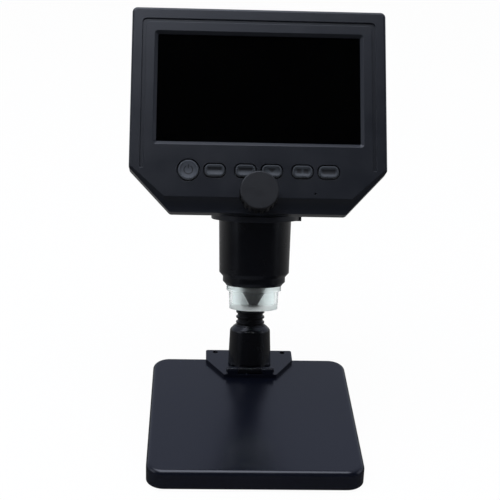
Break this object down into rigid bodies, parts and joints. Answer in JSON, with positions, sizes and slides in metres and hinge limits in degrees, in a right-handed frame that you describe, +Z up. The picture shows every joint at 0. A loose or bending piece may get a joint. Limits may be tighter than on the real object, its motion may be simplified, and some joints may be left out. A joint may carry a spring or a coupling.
{
  "type": "digital microscope",
  "caption": "Desktop digital microscope: screen head with keys and focus knob over a lens barrel with a lamp shade, held in a ring on a ribbed tilting column on a flat base.",
  "frame": {"origin": "on the table under the centre of the base's underside", "axes": "+Z up, +X to the right of the user who faces the screen, +Y away from the user"},
  "size_m": [0.121, 0.153, 0.1911],
  "materials": {
    "base_paint": "satin slate-blue paint",
    "black_gloss": "gloss",
    "case_plastic": "satin dark grey-blue",
    "black_matte": "matte",
    "key_rubber": "satin",
    "rubber": "matte",
    "steel": "brushed",
    "screw_steel": "blackened",
    "brass": "machined",
    "acetal": "natural white",
    "shade_plastic": "milky translucent",
    "board": "green solder mask",
    "chip": "matte",
    "led": "clear over yellow phosphor",
    "optical_glass": "polished",
    "window_glass": "gloss, smoked",
    "panel": "gloss black",
    "battery_foil": "silver film",
    "port_steel": "plated"
  },
  "bodies": {
    "stand": {"base_cover": "base_paint", "base_bottom": "black_matte", "base_weight": "steel", "base_screws": "screw_steel", "rubber_feet": "rubber", "foot_bracket": "base_paint", "bracket_screws": "screw_steel", "hinge_pin": "steel"},
    "socket": {"column_socket": "black_gloss", "column_bush": "black_matte", "socket_screw": "screw_steel"},
    "column": {"column": "black_gloss", "column_cap": "black_matte"},
    "arm": {"arm_bracket": "case_plastic", "ring_screw": "screw_steel"},
    "clamp": {"clamp_knob": "black_matte", "clamp_stud": "brass"},
    "head": {"barrel": "black_gloss", "lamp_ring": "black_gloss", "lamp_board": "board", "lamps": "led", "light_shade": "shade_plastic", "lens_nose": "black_matte", "sensor_board": "board", "image_sensor": "chip", "front_shell": "case_plastic", "rear_shell": "case_plastic", "case_screws": "screw_steel", "window_lens": "window_glass", "lcd_panel": "panel", "main_board": "board", "board_chips": "chip", "board_screws": "screw_steel", "key_board": "board", "key_switches": "chip", "key_board_screws": "screw_steel", "battery": "battery_foil", "usb_port": "port_steel", "card_slot": "port_steel", "focus_bush": "brass"},
    "focus_drive": {"focus_knob": "black_matte", "focus_shaft": "steel", "shaft_clip": "steel", "focus_pinion": "brass"},
    "lens_carriage": {"lens_carriage": "acetal", "objective_lenses": "optical_glass"},
    "power_key": {"power_button": "key_rubber"},
    "key_1": {"key_1": "key_rubber"},
    "key_2": {"key_2": "key_rubber"},
    "key_3": {"key_3": "key_rubber"},
    "key_4": {"key_4": "key_rubber"},
    "key_5": {"key_5": "key_rubber"}
  },
  "joints": [
    {"name": "column_tilt", "type": "hinge", "parent": "stand", "child": "socket", "pos_m": [0, 0.0344, 0.0133], "axis": [1, 0, 0], "range_deg": [0, 20]},
    {"name": "column_turn", "type": "hinge", "parent": "socket", "child": "column", "pos_m": [0, 0.0464, 0.0144], "axis": [0, 0.309, 0.9511], "range_deg": [-45, 45]},
    {"name": "arm_slide", "type": "slide", "parent": "column", "child": "arm", "axis": [0, 0.309, 0.9511], "range_m": [-0.025, 0.045]},
    {"name": "clamp_turn", "type": "hinge", "parent": "arm", "child": "clamp", "pos_m": [0, 0.07143, 0.09144], "axis": [0, 0.9511, -0.309], "range_deg": [0, 180]},
    {"name": "head_turn", "type": "hinge", "parent": "arm", "child": "head", "pos_m": [0, 0.01597, 0.02429], "axis": [0, 0.309, 0.9511], "range_deg": [-30, 30]},
    {"name": "focus_turn", "type": "hinge", "parent": "head", "child": "focus_drive", "pos_m": [0, 0.01629, 0.11627], "axis": [0, -0.829, 0.5592], "range_deg": [-90, 90]},
    {"name": "focus_slide", "type": "slide", "parent": "head", "child": "lens_carriage", "axis": [0, 0.309, 0.9511], "range_m": [-0.0049, 0.0049]},
    {"name": "power_press", "type": "slide", "parent": "head", "child": "power_key", "axis": [0, 0.829, -0.5592], "range_m": [0, 0.0005], "stiffness_N_per_m": 800, "springref_m": -0.0005},
    {"name": "key_1_press", "type": "slide", "parent": "head", "child": "key_1", "axis": [0, 0.829, -0.5592], "range_m": [0, 0.0005], "stiffness_N_per_m": 800, "springref_m": -0.0005},
    {"name": "key_2_press", "type": "slide", "parent": "head", "child": "key_2", "axis": [0, 0.829, -0.5592], "range_m": [0, 0.0005], "stiffness_N_per_m": 800, "springref_m": -0.0005},
    {"name": "key_3_press", "type": "slide", "parent": "head", "child": "key_3", "axis": [0, 0.829, -0.5592], "range_m": [0, 0.0005], "stiffness_N_per_m": 800, "springref_m": -0.0005},
    {"name": "key_4_press", "type": "slide", "parent": "head", "child": "key_4", "axis": [0, 0.829, -0.5592], "range_m": [0, 0.0005], "stiffness_N_per_m": 800, "springref_m": -0.0005},
    {"name": "key_5_press", "type": "slide", "parent": "head", "child": "key_5", "axis": [0, 0.829, -0.5592], "range_m": [0, 0.0005], "stiffness_N_per_m": 800, "springref_m": -0.0005}
  ],
  "couplings": [
    {"joint": "focus_turn", "follows": "focus_slide", "rad_per_m": 320.42}
  ]
}
